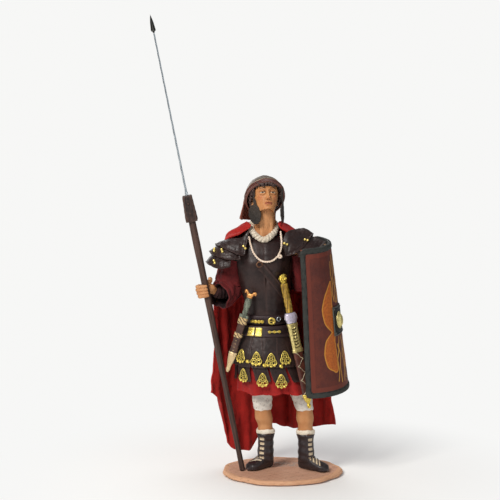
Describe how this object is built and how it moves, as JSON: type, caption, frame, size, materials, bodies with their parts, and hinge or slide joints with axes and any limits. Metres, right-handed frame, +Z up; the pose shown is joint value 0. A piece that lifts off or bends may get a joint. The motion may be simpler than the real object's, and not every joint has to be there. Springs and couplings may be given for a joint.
{
  "type": "soldier figurine",
  "caption": "Painted clay figure of a standing ancient foot soldier with a cloak, a javelin in one fist and a tall curved shield on the other arm, fixed on a thin oval ground plate.",
  "frame": {"origin": "centre of the ground plate's flat underside", "axes": "+X is the figure's left, -Y is its front, +Z is up"},
  "size_m": [0.196, 0.1045, 0.4577],
  "materials": {
    "ground_clay": "matte",
    "figure_clay": "matte",
    "helmet_leather": "satin",
    "cuirass_leather": "satin",
    "cloak_cloth": "matte",
    "tunic_cloth": "matte",
    "scarf_cloth": "matte",
    "strap_leather": "matte",
    "belt_leather": "matte",
    "fitting_brass": "satin",
    "sword_brass": "satin",
    "grip_wood": "satin",
    "guard_paint": "satin",
    "scabbard_leather": "satin",
    "dagger_brass": "satin",
    "dagger_grip_wood": "matte",
    "spear_wood": "matte",
    "spear_steel": "satin",
    "spear_iron": "matte",
    "shield_wood": "matte",
    "rim_leather": "matte",
    "boss_iron": "matte",
    "boss_brass": "satin"
  },
  "bodies": {
    "root": {"ground_plate": "ground_clay", "figure": "figure_clay", "helmet": "helmet_leather", "neck_curtain": "helmet_leather", "cheek_guard_right": "helmet_leather", "cheek_guard_left": "helmet_leather", "yoke_right": "cuirass_leather", "lame_right_middle": "cuirass_leather", "lame_right_lower": "cuirass_leather", "yoke_left": "cuirass_leather", "lame_left_middle": "cuirass_leather", "lame_left_lower": "cuirass_leather", "cloak": "cloak_cloth", "tunic": "tunic_cloth", "sleeve_right": "tunic_cloth", "sleeve_left": "tunic_cloth", "neck_scarf": "scarf_cloth", "neck_cord": "scarf_cloth", "baldric": "strap_leather", "lower_straps": "strap_leather", "upper_straps": "strap_leather", "lower_belt": "belt_leather", "upper_belt": "belt_leather", "baldric_ring": "fitting_brass", "belt_discs": "fitting_brass", "belt_buckle": "fitting_brass", "belt_plate_outer": "fitting_brass", "belt_plate_inner": "fitting_brass", "belt_studs": "fitting_brass", "upper_pendant_1": "fitting_brass", "upper_pendant_2": "fitting_brass", "upper_pendant_3": "fitting_brass", "upper_pendant_4": "fitting_brass", "lower_pendant_1": "fitting_brass", "lower_pendant_2": "fitting_brass", "lower_pendant_3": "fitting_brass", "sword_pommel": "sword_brass", "scabbard_mount": "sword_brass", "scabbard_tip": "sword_brass", "sword_grip": "grip_wood", "sword_guard": "guard_paint", "scabbard": "scabbard_leather", "dagger_sheath": "scabbard_leather", "dagger_pommel": "dagger_brass", "dagger_tip": "dagger_brass", "dagger_grip": "dagger_grip_wood", "spear_shaft": "spear_wood", "spear_block": "spear_wood", "spear_shank": "spear_steel", "spear_point": "spear_iron", "shield_board": "shield_wood", "shield_rim": "rim_leather", "shield_boss_plate": "boss_iron", "shield_boss": "boss_brass"}
  },
  "joints": []
}
